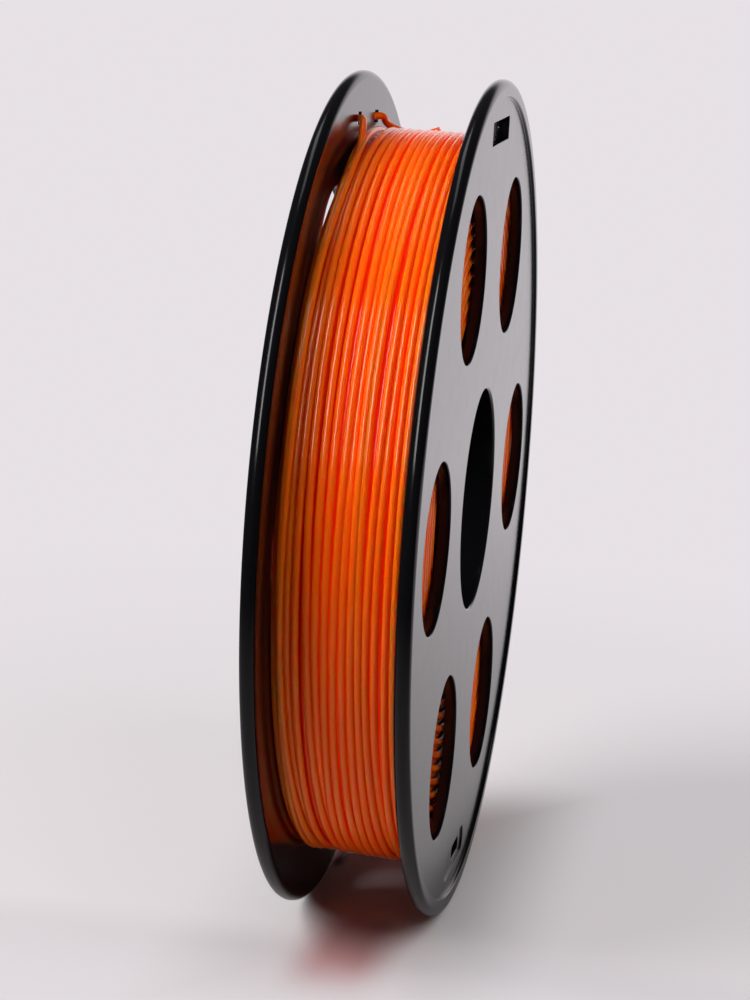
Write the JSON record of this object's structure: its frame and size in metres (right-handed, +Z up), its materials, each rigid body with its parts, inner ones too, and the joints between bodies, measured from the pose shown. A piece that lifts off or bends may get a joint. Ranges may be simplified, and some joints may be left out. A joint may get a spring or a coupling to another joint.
{
  "type": "filament spool",
  "caption": "Filament spool: glossy black flanges with round windows and a spindle bore, clipped to a hub drum, wound with orange strand whose end is threaded through a flange pocket.",
  "frame": {"origin": "on the bore's axis, midway between the two flanges", "axes": "+Z up as the spool stands on its two rims; Y along the bore, front flange at -Y and rear flange at +Y; +X to the right seen from the front flange's side"},
  "size_m": [0.2, 0.037, 0.2],
  "materials": {
    "flange_plastic": "polished injection moulding, near-black",
    "drum_plastic": "plain injection moulding, black",
    "strand": "smooth extruded strand, orange",
    "strand_shaded": "smooth extruded strand, orange, in the shade of the turns over it"
  },
  "bodies": {
    "root": {"front_flange": "flange_plastic", "rear_flange": "flange_plastic", "hub_drum": "drum_plastic", "strand_inner_end": "strand", "winding_core": "strand_shaded", "winding_outer_layer": "strand", "strand_outer_end": "strand"}
  },
  "joints": []
}
